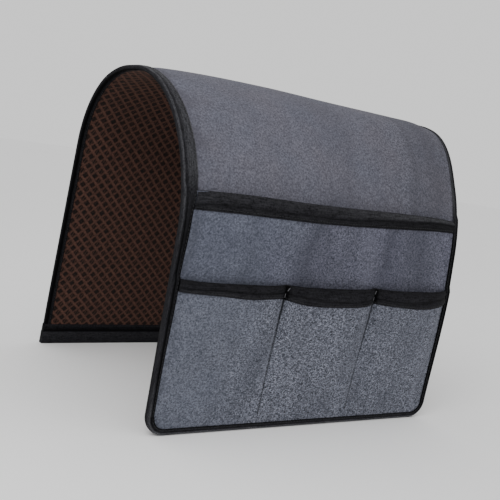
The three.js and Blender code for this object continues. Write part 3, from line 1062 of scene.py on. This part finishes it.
def hem_tape():
    """The tape round the front hem, on a path of centres and directions out from them."""
    turns = np.radians(np.linspace(0, 90, 13))
    down = 1.5 * math.pi
    straight = PLY_HALF - PLY_CORNER
    middles = spread(-straight, straight, HEM_STEP)[1:-1]
    path = [(-straight, math.pi + t) for t in turns]
    path += [(x, down) for x in middles]
    path += [(straight, down + t) for t in turns]
    centre, turn = np.array(path).T
    section = edge_section(TAPE_TOPS[0], TAPE_BOTTOM, HEM_STRIP, BACK_STRIP)
    sections = np.repeat(np.array(section)[None], len(path), axis=0)

    def place(i, w, n):
        reach = PLY_CORNER + w
        return drape(centre[i] + reach * np.cos(turn[i]), CORNER + reach * np.sin(turn[i]), n)

    along = np.concatenate([[0], np.cumsum(np.hypot(np.diff(centre), CORNER * np.diff(turn)))])
    under = smooth(1 - np.abs(turn - down) / (0.5 * math.pi))
    # Painted light and shade, lighter along the straight stretch
    shade = hem_shade(under[:, None])
    tape = sweep("front_hem_tape", sections, place, along, BLACK, shade=shade)
    finish_piece(tape, "front_hem_binding")
    i = np.arange(len(path))
    threads = []
    for label, width, level in (
        ("front_hem_outer_stitches", HEM_STRIP, TAPE_TOPS[0] + SWELL),
        ("front_hem_inner_stitches", BACK_STRIP, TAPE_BOTTOM - SWELL),
    ):
        row = place(i, INSET - width + STITCH_INSET, level)
        threads.append(stitches(label, row, TAPE_STITCH, THREAD))
    return [tape] + threads


def back_band():
    """The wide band folded over the back hem, closed at both of its ends."""
    outer, inner = FACE_OUT + GAP, LINING_IN - GAP
    thick, half, fold = BAND_FOLD, BAND_FOLD / 2, -BAND_FOLD_HEIGHT
    loop = [
        (-BAND_HEIGHT, outer),
        (-BAND_HEIGHT, outer + TAPE),
        (fold - half, outer + TAPE),
        (fold + half, outer + thick),
        (-half, outer + thick),
        (0, outer + half),
        (0, inner - half),
        (-half, inner - thick),
        (fold + half, inner - thick),
        (fold - half, inner - TAPE),
        (-BAND_HEIGHT, inner - TAPE),
        (-BAND_HEIGHT, inner),
        (-FOLD, inner),
        (-FOLD, outer),
    ]
    inside = PLY_HALF + GAP
    past = inside + BAND_END_STEP
    x = np.concatenate([[-WIDTH / 2, -past], spread(-inside, inside, HEM_STEP), [past, WIDTH / 2]])
    sections = np.repeat(np.array(loop)[None], len(x), axis=0)
    closing = BAND_END_GAP - BAND_HEIGHT
    closed = [(closing, inner), (closing, outer)]
    for end in (0, 1, -2, -1):
        sections[end, -2:] = closed

    def place(i, w, n):
        return drape(x[i], LENGTH + w, n)

    # Painted light and shade round the band's section
    shade = np.tile(BAND_TONES, (len(x), 1))
    band = sweep("back_hem_cloth", sections, place, x, BLACK, 30, shade)
    finish_piece(band, "back_hem_band")
    s = LENGTH - BAND_HEIGHT + BAND_STITCH_INSET
    threads = []
    for label, level in (
        ("back_hem_outer_stitches", outer + TAPE + STITCH_LIFT),
        ("back_hem_inner_stitches", inner - TAPE - STITCH_LIFT),
    ):
        threads.append(stitches(label, drape(x, s, level), TAPE_STITCH, THREAD))
    return [band] + threads


def pocket_seams():
    """The seams that part the lower pockets, and the pale tacks that hold them at the mouth."""
    pieces = []
    for k, (seam, lean) in enumerate(zip(SEAMS, TACK_LEANS), 1):
        s = spread(SEAM_START, SEAM_END, EDGE_STEP)
        row = drape(seam, s, lower_inside(seam, s) + POCKET + SEAM_LIFT)
        pieces.append(stitches(f"pocket_seam_{k}", row, SEAM_STITCH, THREAD))
        drop = np.linspace(TACK_TOP, TACK_BOTTOM, 15)
        s = LOWER_MOUTH + drop
        x = seam + lean * smooth(1 + drop / LEAN_HEIGHT)
        share = (lower_mouth(x) - s) / lower_tape_height(x)
        relief = tape_relief(share, lower_crease(x)) * (1 - 0.9 * pinch_at(x, SEAMS))
        row = drape(x, s, lower_inside(x, s) + POCKET + GAP + TAPE + relief + TACK_LIFT)
        pieces.append(stitches(f"pocket_tack_{k}", row, TACK_STITCH, PALE_THREAD))
    return pieces


face, lining, foam = laminate()
upper = pocket_panel(
    "upper_pocket_cloth", "upper_pocket", upper_inside, upper_mouth, UPPER_MOUTH, UPPER_FELT
)
lower = pocket_panel(
    "lower_pocket_cloth", "lower_pocket", lower_inside, lower_mouth, LOWER_MOUTH, LOWER_FELT
)
upper_tape = mouth_tape(
    "upper_mouth_tape", "upper_pocket_binding", upper_inside, upper_mouth, upper_tape_height,
    upper_crease, (), light=0.06, deepen=0.45
)
lower_tape = mouth_tape(
    "lower_mouth_tape", "lower_pocket_binding", lower_inside, lower_mouth, lower_tape_height,
    lower_crease, SEAMS, light=-0.35
)
left_tape = side_tape("left_edge_tape", "left_edge_binding", -1, LEFT_STRIP)
right_tape = side_tape("right_edge_tape", "right_edge_binding", 1, RIGHT_STRIP)
edging = [*left_tape, *right_tape, *hem_tape(), *back_band()]
seams = pocket_seams()


def camera():
    """The photograph's viewpoint, worked out from the edges and the tapes."""
    azimuth, elevation, roll = (math.radians(v) for v in (33.7, 7.45, -8.8))
    place = Vector((-0.4776, -0.7163, 0.2616))
    focal_pixels, frame_pixels, sensor = 800, 500, 36
    ahead = Vector((
        math.sin(azimuth) * math.cos(elevation),
        math.cos(azimuth) * math.cos(elevation),
        -math.sin(elevation),
    ))
    level = Vector((math.cos(azimuth), -math.sin(azimuth), 0))
    down = ahead.cross(level)
    right = level * math.cos(roll) + down * math.sin(roll)
    down = down * math.cos(roll) - level * math.sin(roll)
    data = bpy.data.cameras.new("camera")
    data.lens = sensor * focal_pixels / frame_pixels
    data.sensor_width = sensor
    obj = bpy.data.objects.new("camera", data)
    turn = Matrix((right, -down, -ahead)).transposed().to_4x4()
    obj.matrix_world = Matrix.Translation(place) @ turn
    bpy.context.scene.collection.objects.link(obj)
    bpy.context.scene.camera = obj


def area_light(name, place, target, size, power):
    data = bpy.data.lights.new(name, "AREA")
    data.shape = "DISK"
    data.size = size
    data.energy = power
    obj = bpy.data.objects.new(name, data)
    aim = Vector(target) - Vector(place)
    turn = aim.to_track_quat("-Z", "Y").to_matrix().to_4x4()
    obj.matrix_world = Matrix.Translation(place) @ turn
    bpy.context.scene.collection.objects.link(obj)


def studio():
    world = bpy.data.worlds.new("studio")
    world.use_nodes = True
    background = world.node_tree.nodes["Background"]
    background.inputs["Color"].default_value = (1, 1, 1, 1)
    background.inputs["Strength"].default_value = 1.0
    bpy.context.scene.world = world
    area_light("key", (-0.62, -0.52, 0.85), target=(-0.05, 0, 0.15), size=0.6, power=4.6)
    area_light("fill", (1.4, -1.6, 0.9), target=(0, 0, 0.15), size=1.4, power=1)
    floor_mesh = bpy.data.meshes.new("floor")
    reach = 6.0
    corners = [(-reach, -reach, 0), (reach, -reach, 0), (reach, reach, 0), (-reach, reach, 0)]
    floor_mesh.from_pydata(corners, [], [(0, 1, 2, 3)])
    floor = bpy.data.objects.new("floor", floor_mesh)
    f = Finish("floor_paint", 0.9, 0.0, (1, 1, 1))
    f.colour((0.95, 0.95, 0.95, 1))
    floor_mesh.materials.append(f.material)
    bpy.context.scene.collection.objects.link(floor)


camera()
studio()
